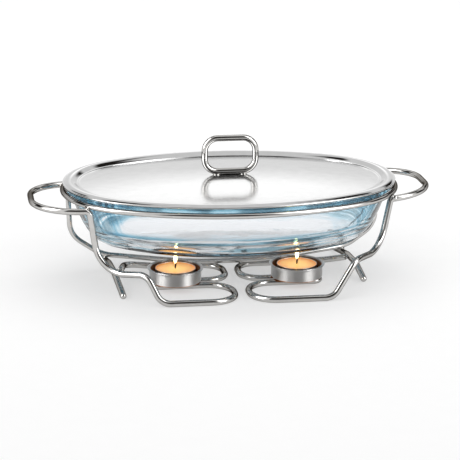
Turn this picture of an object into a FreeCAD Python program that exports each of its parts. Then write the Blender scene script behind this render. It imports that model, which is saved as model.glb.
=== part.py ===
"""Oval glass food warmer: a welded wire stand with two candle cups, a glass dish and a lift-off steel lid.

The table is the plane z = 0, the long axis runs along X, and the front of the warmer looks towards -Y.
"""
import FreeCAD, Part
import math
import os
import Sketcher

Vector = FreeCAD.Vector

doc = FreeCAD.newDocument("GlassFoodWarmer")
sheet = doc.addObject("Spreadsheet::Sheet", "Sizes")

DRIVING_SIZES = {
    # Wire stand: the oval ring that holds the dish
    "ring_half_length": 160.0,
    "ring_half_width": 107.0,
    "ring_end_radius": 90.0,
    "ring_wire": 5.0,
    "ring_height": 85.0,
    # Wire stand: the bent end wires, with a carrying handle, a leg and two loops on the table
    "frame_wire": 6.0,
    "handle_reach": 190.5,
    "handle_half_width": 51.5,
    "handle_shift": 5.5,
    "left_handle_rise": 1.0,
    "right_handle_rise": 4.0,
    "handle_corner": 42.0,
    "handle_end_inset": 5.0,
    "shoulder_radius": 4.5,
    "left_knee_reach": 130.9,
    "left_knee_forward": 59.0,
    "left_knee_height": 20.6,
    "right_knee_reach": 136.0,
    "right_knee_forward": 54.0,
    "right_knee_height": 32.0,
    "knee_radius": 28.0,
    "left_shelf_reach": 90.5,
    "left_shelf_height": 27.7,
    "right_shelf_reach": 105.0,
    "right_shelf_height": 35.0,
    "shelf_forward": 92.5,
    "shelf_radius": 14.0,
    "left_toe_reach": 78.5,
    "right_toe_reach": 82.0,
    "front_run": 104.0,
    "toe_radius": 14.0,
    "loop_inset": 7.0,
    "front_loop_radius": 24.0,
    "cup_wire_spacing": 14.5,
    "cup_turn_radius": 7.0,
    "rear_run": 12.0,
    "cup_loop_radius": 20.0,
    "rear_lift_start": 64.0,
    "rear_lift_radius": 60.0,
    "left_rear_turn_reach": 101.0,
    "left_rear_turn_back": 12.0,
    "left_rear_turn_height": 7.0,
    "left_lap_forward": 24.0,
    "right_rear_turn_reach": 95.0,
    "right_rear_turn_back": 8.0,
    "right_rear_turn_height": 5.0,
    "right_lap_forward": 4.0,
    "rear_turn_radius": 14.0,
    # Wire stand: the cradle wire along the middle and the foot bars under it
    "cradle_wire": 5.0,
    "cradle_back": 35.0,
    "cradle_corner_reach": 151.0,
    "cradle_corner_height": 31.5,
    "cradle_corner_radius": 22.0,
    "cradle_knee_reach": 121.5,
    "cradle_knee_back": 27.0,
    "cradle_knee_height": 13.3,
    "cradle_knee_radius": 40.0,
    "cradle_flat_reach": 36.0,
    "cradle_flat_back": 6.0,
    "cradle_flat_radius": 150.0,
    "left_foot_reach": 116.0,
    "right_foot_reach": 118.5,
    "foot_swing": 0.07,
    "left_foot_front": 75.0,
    "right_foot_front": 51.0,
    "foot_crest_front": 23.0,
    "foot_crest_back": 5.0,
    "foot_back": 57.0,
    "foot_crest_radius": 30.0,
    # Candle cups
    "cup_reach": 58.2,
    "cup_forward": 44.25,
    "cup_radius": 24.5,
    "cup_lip": 2.0,
    "cup_height": 13.5,
    "cup_sheet": 0.8,
    "cup_corner": 2.5,
    # Candles
    "candle_radius": 19.0,
    "candle_height": 12.2,
    "tray_sheet": 0.3,
    "wax_drop": 0.9,
    "wick_radius": 0.8,
    "wick_above_wax": 6.0,
    "sustainer_radius": 6.5,
    "sustainer_sheet": 0.4,
    # Glass dish; its outlines are measured inwards from the ring
    "dish_rim_inset": 1.0,
    "dish_rim_thickness": 4.8,
    "dish_rim_round": 1.4,
    "dish_wall_inset": 6.5,
    "dish_bottom_inset": 38.0,
    "dish_bottom_side_inset": 30.0,
    "dish_height": 49.0,
    "dish_wall": 4.5,
    "dish_floor": 5.5,
    # Lid; its outline overhangs the dish rim
    "lid_overhang": 1.0,
    "lid_sheet": 1.0,
    "lid_bead": 1.6,
    "lid_flange_width": 16.0,
    "lid_recess": 1.7,
    "lid_rise": 5.5,
    "lid_crown_share": 0.2,
    # Lid handle
    "lid_handle_wire": 6.0,
    "lid_handle_half_length": 24.5,
    "lid_handle_height": 32.5,
    "lid_handle_corner": 12.5,
    # Fits
    "weld_gap": 0.05,
    "candle_gap": 0.05,
    "dish_seat_gap": 0.25,
    "lid_seat_gap": 0.2,
}

# The bends at the two ends of a run take at most this share of it.
LONGEST_BEND_SHARE = 0.995
# Two places closer than this are the same, when an edge is looked up.
SAME_PLACE = 0.01
# A wire that is laid against another is shifted by what is still missing, this many times.
SETTLING_TURNS = 16

for row, (alias, value) in enumerate(DRIVING_SIZES.items(), start=1):
    sheet.set("A%d" % row, alias)
    sheet.set("B%d" % row, repr(value))
    sheet.setAlias("B%d" % row, alias)
doc.recompute()


def size(alias):
    """Return a driving size from the sheet as a plain number."""
    return float(getattr(sheet, alias))


def bind(feature, prop, expression):
    """Tie a property or a named constraint to the driving sizes; bare words are aliases of the sheet."""
    words = []
    word = ""
    for letter in expression + " ":
        if letter.isalnum() or letter == "_":
            word += letter
            continue
        words.append("Sizes." + word if word in DRIVING_SIZES else word)
        words.append(letter)
        word = ""
    feature.setExpression(prop, "".join(words).strip())


def worked_out(expression):
    """Work an expression of sheet aliases out as a number, with + - * / ^ and brackets."""
    scratch = doc.addObject("App::FeaturePython", "Scratch")
    scratch.addProperty("App::PropertyFloat", "Value")
    bind(scratch, "Value", expression)
    scratch.recompute()
    value = scratch.Value
    doc.removeObject(scratch.Name)
    return value


def oval_centres(half_length, half_width, end_radius):
    """Give the side radius and the centre offsets of an oval made of two end arcs and two side arcs."""
    side_radius = (half_length ** 2 + half_width ** 2 - 2 * half_length * end_radius)
    side_radius = side_radius / (2 * (half_width - end_radius))
    return side_radius, half_length - end_radius, side_radius - half_width


def oval_arcs(half_length, half_width, end_radius, height):
    """Give the four tangent arcs of a level oval, in order round it."""
    side_radius, end_offset, side_offset = oval_centres(half_length, half_width, end_radius)
    joint = math.atan2(side_offset, end_offset)
    up = Vector(0, 0, 1)
    right = Part.Circle(Vector(end_offset, 0, height), up, end_radius)
    back = Part.Circle(Vector(0, -side_offset, height), up, side_radius)
    left = Part.Circle(Vector(-end_offset, 0, height), up, end_radius)
    front = Part.Circle(Vector(0, side_offset, height), up, side_radius)
    return [
        Part.ArcOfCircle(right, -joint, joint),
        Part.ArcOfCircle(back, joint, math.pi - joint),
        Part.ArcOfCircle(left, math.pi - joint, math.pi + joint),
        Part.ArcOfCircle(front, math.pi + joint, 2 * math.pi - joint),
    ]


def plane_of(body, role):
    """Find one of the body's own origin planes."""
    for feature in body.Origin.OriginFeatures:
        if feature.Role == role:
            return feature
    raise ValueError(role)


def flat_sketch(body, name, role, lift):
    """Add a sketch on an origin plane of the body, lifted off it by an expression."""
    sketch = body.newObject("Sketcher::SketchObject", name)
    sketch.AttachmentSupport = [(plane_of(body, role), "")]
    sketch.MapMode = "FlatFace"
    bind(sketch, "AttachmentOffset.Base.z", lift)
    return sketch


def named(sketch, constraint, label, expression):
    """Add a driving constraint to a sketch and tie it to the sheet."""
    index = sketch.addConstraint(constraint)
    sketch.renameConstraint(index, label)
    bind(sketch, "Constraints." + label, expression)


def oval_sketch(body, name, half_length, half_width, end_radius, lift):
    """Draw a level oval of four tangent arcs; its sizes are expressions."""
    sketch = flat_sketch(body, name, "XY_Plane", lift)
    length, width, radius = worked_out(half_length), worked_out(half_width), worked_out(end_radius)
    side_radius, end_offset, side_offset = oval_centres(length, width, radius)
    for arc in oval_arcs(length, width, radius, 0):
        sketch.addGeometry(arc, False)
    sketch.addConstraint(Sketcher.Constraint("Tangent", 0, 2, 1, 1))
    sketch.addConstraint(Sketcher.Constraint("Tangent", 1, 2, 2, 1))
    sketch.addConstraint(Sketcher.Constraint("Tangent", 2, 2, 3, 1))
    sketch.addConstraint(Sketcher.Constraint("Coincident", 3, 2, 0, 1))
    sketch.addConstraint(Sketcher.Constraint("PointOnObject", 0, 3, -1))
    sketch.addConstraint(Sketcher.Constraint("Symmetric", 0, 3, 2, 3, -1, 1))
    sketch.addConstraint(Sketcher.Constraint("Symmetric", 1, 3, 3, 3, -1, 1))
    named(sketch, Sketcher.Constraint("Radius", 0, radius), "end_arc", end_radius)
    named(sketch, Sketcher.Constraint("DistanceX", -1, 1, 0, 3, end_offset), "end_centre",
          "(%s) - (%s)" % (half_length, end_radius))
    named(sketch, Sketcher.Constraint("Radius", 1, side_radius), "side_arc",
          "((%s)^2 + (%s)^2 - 2 * (%s) * (%s)) / (2 * ((%s) - (%s)))"
          % (half_length, half_width, half_length, end_radius, half_width, end_radius))
    return sketch


def outline_sketch(body, name, role, lift, corners):
    """Draw a closed outline of straight sides; each corner is a pair of expressions."""
    sketch = flat_sketch(body, name, role, lift)
    places = [(worked_out(across), worked_out(up)) for across, up in corners]
    count = len(corners)
    for index in range(count):
        start = Vector(places[index][0], places[index][1], 0)
        end = Vector(places[(index + 1) % count][0], places[(index + 1) % count][1], 0)
        sketch.addGeometry(Part.LineSegment(start, end), False)
    for index in range(count):
        sketch.addConstraint(Sketcher.Constraint("Coincident", index, 2, (index + 1) % count, 1))
    for index, (across, up) in enumerate(corners):
        if across == "0":
            sketch.addConstraint(Sketcher.Constraint("PointOnObject", index, 1, -2))
        else:
            named(sketch, Sketcher.Constraint("DistanceX", -1, 1, index, 1, places[index][0]),
                  "across_%d" % index, across)
        if up == "0":
            sketch.addConstraint(Sketcher.Constraint("PointOnObject", index, 1, -1))
        else:
            named(sketch, Sketcher.Constraint("DistanceY", -1, 1, index, 1, places[index][1]),
                  "up_%d" % index, up)
    return sketch


def new_body(label, x="0", y="0", z="0"):
    """Add a part with its own label and a placement tied to the sheet."""
    body = doc.addObject("PartDesign::Body", label)
    body.Label = label
    for axis, expression in (("x", x), ("y", y), ("z", z)):
        if expression != "0":
            bind(body, "Placement.Base." + axis, expression)
    return body


def turned_body(label, corners, x, y, z):
    """Turn a closed outline about the part's own upright axis."""
    body = new_body(label, x, y, z)
    profile = outline_sketch(body, label + "_profile", "XZ_Plane", "0", corners)
    turn = body.newObject("PartDesign::Revolution", label + "_turn")
    turn.Profile = profile
    turn.ReferenceAxis = (profile, ["V_Axis"])
    turn.Angle = 360
    doc.recompute()
    return body


def round_edges(body, radius, wanted):
    """Round the edges of the body's last shape that the test picks."""
    base = body.Tip
    picked = ["Edge%d" % (index + 1) for index, edge in enumerate(base.Shape.Edges) if wanted(edge)]
    fillet = body.newObject("PartDesign::Fillet", body.Name + "_round")
    fillet.Base = (base, picked)
    bind(fillet, "Radius", radius)
    doc.recompute()
    return fillet


def pad(body, sketch, length):
    feature = body.newObject("PartDesign::Pad", sketch.Name + "_pad")
    feature.Profile = sketch
    bind(feature, "Length", length)
    return feature


def loft(body, kind, sketches):
    feature = body.newObject("PartDesign::" + kind, sketches[0].Name + "_loft")
    feature.Profile = sketches[0]
    feature.Sections = sketches[1:]
    doc.recompute()
    return feature


def bent_path(corners, radii):
    """Join straight runs by tangent arcs, easing the bends at both ends of a run too short for them."""
    towards_last = [(corners[k - 1] - corners[k]).normalize() for k in range(1, len(corners) - 1)]
    towards_next = [(corners[k + 1] - corners[k]).normalize() for k in range(1, len(corners) - 1)]
    half_angles = [math.acos(max(-1.0, min(1.0, a.dot(b)))) / 2 for a, b in zip(towards_last, towards_next)]
    setbacks = [radius / math.tan(half) for radius, half in zip(radii, half_angles)]
    padded = [0.0] + setbacks + [0.0]
    shares = []
    for k in range(len(corners) - 1):
        run = (corners[k + 1] - corners[k]).Length
        shares.append(min(1.0, LONGEST_BEND_SHARE * run / (padded[k] + padded[k + 1])))
    edges = []
    start = corners[0]
    for k, corner in enumerate(corners[1:-1]):
        share = min(shares[k], shares[k + 1])
        entry = corner + towards_last[k] * (setbacks[k] * share)
        leave = corner + towards_next[k] * (setbacks[k] * share)
        inwards = (towards_last[k] + towards_next[k]).normalize()
        middle = corner + inwards * (radii[k] * share * (1 / math.sin(half_angles[k]) - 1))
        edges.append(Part.LineSegment(start, entry).toShape())
        edges.append(Part.Arc(entry, middle, leave).toShape())
        start = leave
    edges.append(Part.LineSegment(start, corners[-1]).toShape())
    return edges


def swept_wire(label, edges, diameter):
    """Sweep a round section of a sheet diameter along a path; the section stands at the path's start."""
    spine = doc.addObject("Part::Feature", label + "_path")
    spine.Shape = Part.Wire(edges)
    first = spine.Shape.OrderedEdges[0]
    start = first.valueAt(first.FirstParameter)
    heading = first.tangentAt(first.FirstParameter)
    section = doc.addObject("Part::Circle", label + "_section")
    section.Placement = FreeCAD.Placement(start, FreeCAD.Rotation(Vector(0, 0, 1), heading))
    bind(section, "Radius", diameter + " / 2")
    wire = doc.addObject("Part::Sweep", label)
    wire.Label = label
    wire.Sections = [section]
    wire.Spine = (spine, ["Edge%d" % (index + 1) for index in range(len(spine.Shape.Edges))])
    wire.Solid = True
    wire.Frenet = False
    doc.recompute()
    return wire


parts = []

# The ring is one oval loop of wire, level, and the dish hangs in it by its rim.
ring_edges = oval_arcs(size("ring_half_length"), size("ring_half_width"), size("ring_end_radius"),
                       size("ring_height"))
parts.append(swept_wire("top_ring", [arc.toShape() for arc in ring_edges], "ring_wire"))

# The two runs that carry a cup lie one behind the other under it, joined by a tight turn beyond it.
wire_level = size("frame_wire") / 2
back_run = size("cup_forward") + size("cup_wire_spacing") / 2
cup_run = size("cup_forward") - size("cup_wire_spacing") / 2
cup_turn_reach = size("cup_reach") + size("cup_radius") - size("frame_wire") / 2


def ring_reach(across):
    """How far out the ring's end arc runs at a distance from the long axis."""
    end_centre = size("ring_half_length") - size("ring_end_radius")
    return end_centre + math.sqrt(size("ring_end_radius") ** 2 - across ** 2)


def settled(start, path_at, other, apart):
    """Shift a height or a reach until the path drawn for it stands this far from another path."""
    value = start
    for turn in range(SETTLING_TURNS):
        value += Part.Wire(path_at(value)).distToShape(other)[0] - apart
    return value


# The cradle wire runs down from the ring's ends, slants in behind the legs and lies low along the middle.
# Its left and right halves mirror each other.
cradle_top = worked_out("ring_height - ring_wire / 2 - weld_gap")
cradle_low = worked_out("frame_wire + cradle_wire / 2 + weld_gap")
slanted = [
    Vector(ring_reach(size("cradle_back")), size("cradle_back"), cradle_top),
    Vector(size("cradle_corner_reach"), size("cradle_back"), size("cradle_corner_height")),
    Vector(size("cradle_knee_reach"), size("cradle_knee_back"), size("cradle_knee_height")),
    Vector(size("cradle_flat_reach"), size("cradle_flat_back"), cradle_low),
]
mirrored = [Vector(-corner.x, corner.y, corner.z) for corner in slanted]
cradle_radii = [size("cradle_corner_radius"), size("cradle_knee_radius"), size("cradle_flat_radius")]
cradle_edges = bent_path(mirrored + slanted[::-1], cradle_radii + cradle_radii[::-1])
cradle_line = Part.Wire(cradle_edges)
ring_line = Part.Wire([arc.toShape() for arc in ring_edges])

for side_name, side in (("left", -1), ("right", 1)):
    def place(reach, across, height):
        return Vector(side * reach, across, height)

    def foot_place(across, height):
        """A place on the foot bar, whose plan is swung a little about the upright."""
        reach = size(side_name + "_foot_reach")
        return Vector(side * reach - size("foot_swing") * across, across, height)

    def foot_path(crest_height):
        """The foot bar's axis for one height of its crest."""
        corners = [
            foot_place(-size(side_name + "_foot_front"), wire_level),
            foot_place(-size("foot_crest_front"), crest_height),
            foot_place(size("foot_crest_back"), crest_height),
            foot_place(size("foot_back"), wire_level),
        ]
        return bent_path(corners, [size("foot_crest_radius")] * 2)

    # The foot bar lies under the cradle wire and touches it.
    foot_crest_height = settled(size("cradle_knee_height"), foot_path, cradle_line,
                                worked_out("(cradle_wire + frame_wire) / 2 + weld_gap"))
    foot_edges = foot_path(foot_crest_height)
    foot_line = Part.Wire(foot_edges)

    # The handle's two branches pass under the ring; the front one turns down there into the leg.
    front_branch = side * size("handle_shift") - size("handle_half_width")
    rear_branch = side * size("handle_shift") + size("handle_half_width")
    rear_end_reach = ring_reach(rear_branch) - size("handle_end_inset")
    knee = place(size(side_name + "_knee_reach"), -size(side_name + "_knee_forward"),
                 size(side_name + "_knee_height"))
    wires_apart = worked_out("(ring_wire + frame_wire) / 2 + weld_gap")

    def tip(across, height):
        return place(size("handle_reach"), across, height + size(side_name + "_handle_rise"))

    def rear_path(height):
        end = place(rear_end_reach, rear_branch, height)
        return [Part.LineSegment(end, tip(rear_branch, height)).toShape()]

    def front_path(height):
        corners = [
            tip(front_branch, height),
            place(ring_reach(front_branch), front_branch, height),
            knee,
        ]
        return bent_path(corners, [size("shoulder_radius")])

    rear_height = settled(size("ring_height") - 2 * wires_apart, rear_path, ring_line, wires_apart)
    front_height = settled(rear_height - wires_apart, front_path, ring_line, wires_apart)

    # The wire's other end stands against the foot bar's side, level with it.
    rear_turn = place(size(side_name + "_rear_turn_reach"), size(side_name + "_rear_turn_back"),
                      size(side_name + "_rear_turn_height"))

    def lap(reach):
        return place(reach, -size(side_name + "_lap_forward"), foot_crest_height)

    def lap_path(reach):
        """The round edge of the wire's end."""
        end = lap(reach)
        return [Part.Circle(end, end - rear_turn, size("frame_wire") / 2).toShape()]

    lap_reach = settled(size(side_name + "_rear_turn_reach"), lap_path, foot_line,
                        worked_out("frame_wire / 2 + weld_gap"))
    corners = [
        place(rear_end_reach, rear_branch, rear_height),
        tip(rear_branch, rear_height),
        tip(front_branch, front_height),
        place(ring_reach(front_branch), front_branch, front_height),
        knee,
        place(size(side_name + "_shelf_reach"), -size("shelf_forward"), size(side_name + "_shelf_height")),
        place(size(side_name + "_toe_reach"), -size("front_run"), wire_level),
        place(size("loop_inset"), -size("front_run"), wire_level),
        place(size("loop_inset"), -back_run, wire_level),
        place(cup_turn_reach, -back_run, wire_level),
        place(cup_turn_reach, -cup_run, wire_level),
        place(size("loop_inset"), -cup_run, wire_level),
        place(size("loop_inset"), size("rear_run"), wire_level),
        place(size("rear_lift_start"), size("rear_run"), wire_level),
        rear_turn,
        lap(lap_reach),
    ]
    bends = ["handle_corner", "handle_corner", "shoulder_radius", "knee_radius", "shelf_radius",
             "toe_radius", "front_loop_radius", "front_loop_radius", "cup_turn_radius", "cup_turn_radius",
             "cup_loop_radius", "cup_loop_radius", "rear_lift_radius", "rear_turn_radius"]
    path = bent_path(corners, [size(bend) for bend in bends])
    parts.append(swept_wire(side_name + "_end_wire", path, "frame_wire"))

    bar = swept_wire(side_name + "_foot_length", foot_edges, "frame_wire")
    ends = []
    for end_name, end_index in (("front", 0), ("rear", -1)):
        end = doc.addObject("Part::Sphere", side_name + "_foot_end_" + end_name)
        end.Placement.Base = foot_line.OrderedVertexes[end_index].Point
        bind(end, "Radius", "frame_wire / 2")
        ends.append(end)
    foot_bar = doc.addObject("Part::MultiFuse", side_name + "_foot_bar")
    foot_bar.Label = side_name + "_foot_bar"
    foot_bar.Shapes = [bar] + ends
    parts.append(foot_bar)

parts.append(swept_wire("cradle_wire", cradle_edges, "cradle_wire"))

# The cups stand on the stand's wires; a candle stands loose in each.
CUP_PROFILE = [
    ("0", "0"),
    ("cup_radius", "0"),
    ("cup_radius", "cup_height - cup_sheet"),
    ("cup_radius + cup_lip", "cup_height - cup_sheet"),
    ("cup_radius + cup_lip", "cup_height"),
    ("cup_radius - cup_sheet", "cup_height"),
    ("cup_radius - cup_sheet", "cup_sheet"),
    ("0", "cup_sheet"),
]
TRAY_PROFILE = [
    ("0", "0"),
    ("candle_radius", "0"),
    ("candle_radius", "candle_height"),
    ("candle_radius - tray_sheet", "candle_height"),
    ("candle_radius - tray_sheet", "tray_sheet"),
    ("0", "tray_sheet"),
]
SUSTAINER_PROFILE = [
    ("0", "0"),
    ("sustainer_radius", "0"),
    ("sustainer_radius", "sustainer_sheet"),
    ("0", "sustainer_sheet"),
]
WAX_HEIGHT = "candle_height - tray_sheet - candle_gap - wax_drop"
WAX_PROFILE = [
    ("sustainer_radius + candle_gap", "0"),
    ("candle_radius - tray_sheet - candle_gap", "0"),
    ("candle_radius - tray_sheet - candle_gap", WAX_HEIGHT),
    ("wick_radius + candle_gap", WAX_HEIGHT),
    ("wick_radius + candle_gap", "sustainer_sheet + candle_gap"),
    ("sustainer_radius + candle_gap", "sustainer_sheet + candle_gap"),
]
WICK_HEIGHT = WAX_HEIGHT + " - sustainer_sheet - candle_gap + wick_above_wax"
WICK_PROFILE = [
    ("0", "0"),
    ("wick_radius", "0"),
    ("wick_radius", WICK_HEIGHT),
    ("0", WICK_HEIGHT),
]


def level_circle(radius, height):
    """Give a test for a level round edge of this radius at this height in the part's own frame."""
    def wanted(edge):
        round_edge = isinstance(edge.Curve, Part.Circle) and abs(edge.Curve.Radius - radius) < SAME_PLACE
        return round_edge and abs(edge.Curve.Center.z - height) < SAME_PLACE
    return wanted


for side_name, sign in (("left", "-"), ("right", "")):
    cup_x = sign + "cup_reach"
    cup_y = "-cup_forward"
    cup_z = "frame_wire + weld_gap"
    cup = turned_body(side_name + "_candle_cup", CUP_PROFILE, cup_x, cup_y, cup_z)
    round_edges(cup, "cup_corner", level_circle(size("cup_radius"), 0))
    parts.append(cup)
    tray_z = cup_z + " + cup_sheet + candle_gap"
    wax_z = tray_z + " + tray_sheet + candle_gap"
    wick_z = wax_z + " + sustainer_sheet + candle_gap"
    parts.append(turned_body(side_name + "_candle_tray", TRAY_PROFILE, cup_x, cup_y, tray_z))
    parts.append(turned_body(side_name + "_wick_sustainer", SUSTAINER_PROFILE, cup_x, cup_y, wax_z))
    parts.append(turned_body(side_name + "_candle_wax", WAX_PROFILE, cup_x, cup_y, wax_z))
    parts.append(turned_body(side_name + "_candle_wick", WICK_PROFILE, cup_x, cup_y, wick_z))

# The dish hangs in the ring: the round of its rim's lower edge rests on the wire all the way round.
RIM_OUT = "dish_rim_inset + dish_rim_round"
RIM_TOUCH = "ring_wire / 2 + dish_rim_round + dish_seat_gap"
RIM_UNDERSIDE = "ring_height + sqrt((%s)^2 - (%s)^2) - dish_rim_round" % (RIM_TOUCH, RIM_OUT)
END_OFFSET = "ring_half_length - ring_end_radius"
DISH_SHARES = (0.0, 0.07, 0.22, 0.56, 1.0)
END_CURVE = 0.45
SIDE_CURVE = 0.32


def inset_oval(body, name, inset, lift):
    """Draw the ring's oval, set in evenly all round."""
    return oval_sketch(body, name, "ring_half_length - (%s)" % inset, "ring_half_width - (%s)" % inset,
                       "ring_end_radius - (%s)" % inset, lift)


def bowl_sections(body, name, thickness, floor):
    """Draw the bowl's ovals from the floor up; each widens fast at first and then stands up steeper."""
    sketches = []
    for index, share in enumerate(DISH_SHARES):
        end_inset = "(dish_bottom_inset - (dish_bottom_inset - dish_wall_inset) * %.5f + %s)" % (
            share ** END_CURVE, thickness)
        side_inset = "(dish_bottom_side_inset - (dish_bottom_side_inset - dish_wall_inset) * %.5f + %s)" % (
            share ** SIDE_CURVE, thickness)
        length = "ring_half_length - " + end_inset
        width = "ring_half_width - " + side_inset
        lift = "%s + (dish_height - %s) * %.5f" % (floor, floor, share)
        sketches.append(oval_sketch(body, "%s_%d" % (name, index), length, width,
                                    length + " - (" + END_OFFSET + ")", lift))
    return sketches


def outer_rim_edge(edge):
    """Pick the edges round the outside of a flange in the part's own frame."""
    middle = edge.valueAt((edge.FirstParameter + edge.LastParameter) / 2)
    beyond = max(abs(middle.x) / (size("ring_half_length") - size("dish_rim_inset")),
                 abs(middle.y) / (size("ring_half_width") - size("dish_rim_inset")))
    return beyond > 0.99


dish = new_body("glass_dish", z=RIM_UNDERSIDE + " - dish_height")
loft(dish, "AdditiveLoft", bowl_sections(dish, "bowl_outside", "0", "0"))
rim_outline = inset_oval(dish, "rim_outline", "dish_rim_inset", "dish_height")
pad(dish, rim_outline, "dish_rim_thickness")
doc.recompute()
round_edges(dish, "dish_rim_round", outer_rim_edge)
loft(dish, "SubtractiveLoft", bowl_sections(dish, "bowl_inside", "dish_wall", "dish_floor"))
mouth = inset_oval(dish, "mouth", "dish_wall_inset + dish_wall", "dish_height + dish_rim_thickness")
opening = dish.newObject("PartDesign::Pocket", "mouth_pocket")
opening.Profile = mouth
bind(opening, "Length", "dish_rim_thickness")
doc.recompute()
parts.append(dish)

# The lid lies loose on the dish rim: a flat flange with a rolled edge, a step down into the dish's
# mouth, and a shallow dome that rises from it.
LID_UNDERSIDE = RIM_UNDERSIDE + " + dish_rim_thickness + lid_seat_gap"
LID_OUT = "dish_rim_inset - lid_overhang"
CROWN_SHARES = (1.0, 0.85, 0.65, 0.45)


def dome_sections(body, name, drop):
    """Draw the dome's ovals from its edge to the flat crown, on a parabola, all the same shape."""
    sketches = []
    for index, share in enumerate(CROWN_SHARES + (size("lid_crown_share"),)):
        edge = "(ring_half_%s - dish_rim_inset + lid_overhang - lid_flange_width)"
        rise = "lid_rise * %.5f / (1 - lid_crown_share^2)" % (1 - share ** 2)
        lift = "lid_sheet - lid_recess - (%s) + %s" % (drop, rise)
        end = "(ring_end_radius - dish_rim_inset + lid_overhang - lid_flange_width)"
        sketches.append(oval_sketch(body, "%s_%d" % (name, index), "%s * %.5f" % (edge % "length", share),
                                    "%s * %.5f" % (edge % "width", share), "%s * %.5f" % (end, share), lift))
    return sketches


lid = new_body("lid", z=LID_UNDERSIDE)
flange = inset_oval(lid, "flange", LID_OUT + " + lid_bead / 2", "0")
pad(lid, flange, "lid_sheet")
step = inset_oval(lid, "step", LID_OUT + " + lid_flange_width - lid_sheet", "-lid_recess")
pad(lid, step, "lid_recess")
doc.recompute()
recess = inset_oval(lid, "recess", LID_OUT + " + lid_flange_width", "lid_sheet")
sunk = lid.newObject("PartDesign::Pocket", "recess_pocket")
sunk.Profile = recess
bind(sunk, "Length", "lid_recess")
doc.recompute()
loft(lid, "AdditiveLoft", dome_sections(lid, "dome_outside", "0"))
loft(lid, "SubtractiveLoft", dome_sections(lid, "dome_inside", "lid_sheet"))
bead_line = inset_oval(lid, "bead_line", LID_OUT + " + lid_bead / 2", "lid_sheet / 2")
bead_round = flat_sketch(lid, "bead_round", "XZ_Plane", "0")
bead_x = size("ring_half_length") - size("dish_rim_inset") + size("lid_overhang") - size("lid_bead") / 2
bead_round.addGeometry(Part.Circle(Vector(bead_x, size("lid_sheet") / 2, 0), Vector(0, 0, 1),
                                   size("lid_bead") / 2), False)
named(bead_round, Sketcher.Constraint("Radius", 0, size("lid_bead") / 2), "bead", "lid_bead / 2")
named(bead_round, Sketcher.Constraint("DistanceX", -1, 1, 0, 3, bead_x), "out",
      "ring_half_length - dish_rim_inset + lid_overhang - lid_bead / 2")
named(bead_round, Sketcher.Constraint("DistanceY", -1, 1, 0, 3, size("lid_sheet") / 2), "up",
      "lid_sheet / 2")
bead = lid.newObject("PartDesign::AdditivePipe", "rolled_edge")
bead.Profile = bead_round
bead.Spine = (bead_line, [])
doc.recompute()
parts.append(lid)

# The lid's handle is a closed loop of wire that stands on the crown, along the long axis.
handle_foot = worked_out(LID_UNDERSIDE + " + lid_sheet - lid_recess + lid_rise"
                         + " + lid_handle_wire / 2 + weld_gap")
handle_corners = [
    Vector(0, 0, handle_foot),
    Vector(size("lid_handle_half_length"), 0, handle_foot),
    Vector(size("lid_handle_half_length"), 0, handle_foot + size("lid_handle_height")),
    Vector(-size("lid_handle_half_length"), 0, handle_foot + size("lid_handle_height")),
    Vector(-size("lid_handle_half_length"), 0, handle_foot),
    Vector(0, 0, handle_foot),
]
parts.append(swept_wire("lid_handle", bent_path(handle_corners, [size("lid_handle_corner")] * 4),
                        "lid_handle_wire"))

doc.recompute()
for feature in doc.Objects:
    if "Invalid" in feature.State or "Error" in feature.State:
        raise RuntimeError("%s didn't build" % feature.Label)
for part in parts:
    if part.Shape.isNull() or not part.Shape.isValid() or len(part.Shape.Solids) != 1:
        raise RuntimeError("%s isn't one sound solid" % part.Label)

os.makedirs("parts", exist_ok=True)
for part in parts:
    part.Shape.exportStep("parts/%s.step" % part.Label)
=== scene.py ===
"""An oval glass food warmer on its wire stand, dressed over its CAD frame; all lengths are in metres."""
import math
import bmesh
import bpy
import numpy as np
from mathutils import Matrix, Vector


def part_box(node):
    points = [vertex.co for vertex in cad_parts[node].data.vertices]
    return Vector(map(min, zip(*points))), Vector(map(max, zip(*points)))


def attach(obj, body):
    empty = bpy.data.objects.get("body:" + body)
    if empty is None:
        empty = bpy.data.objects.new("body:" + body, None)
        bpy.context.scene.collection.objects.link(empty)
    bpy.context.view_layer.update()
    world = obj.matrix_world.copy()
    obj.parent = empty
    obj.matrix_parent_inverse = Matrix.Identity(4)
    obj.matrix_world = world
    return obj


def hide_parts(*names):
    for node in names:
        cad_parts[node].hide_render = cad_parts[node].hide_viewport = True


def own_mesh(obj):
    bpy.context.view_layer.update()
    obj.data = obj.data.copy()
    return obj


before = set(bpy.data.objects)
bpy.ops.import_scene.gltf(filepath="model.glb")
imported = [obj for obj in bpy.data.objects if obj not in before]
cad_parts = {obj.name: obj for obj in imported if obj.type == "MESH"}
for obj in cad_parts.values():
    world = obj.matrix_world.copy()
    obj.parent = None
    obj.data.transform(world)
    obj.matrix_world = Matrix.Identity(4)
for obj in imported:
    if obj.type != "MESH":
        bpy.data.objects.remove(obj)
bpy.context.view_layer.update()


# The top ring is one loop of bright chromed steel wire, bent to an oval and butt-welded.
# The dish hangs in it by its rim, and the end wires and the cradle wire are welded under it.
MM = 0.001
ring_low, ring_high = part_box("top_ring")
RING_WIRE = (ring_high[2] - ring_low[2]) / 2
RING_HEIGHT = (ring_high[2] + ring_low[2]) / 2
RING_LENGTH = ring_high[0] - RING_WIRE
RING_WIDTH = ring_high[1] - RING_WIRE
RING_END = 90 * MM
ROUND_WIRE = 24
ROUND_OVAL = 288
TIP_ROWS = 6
CHROME_COLOUR = (0.58, 0.57, 0.555)


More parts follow.
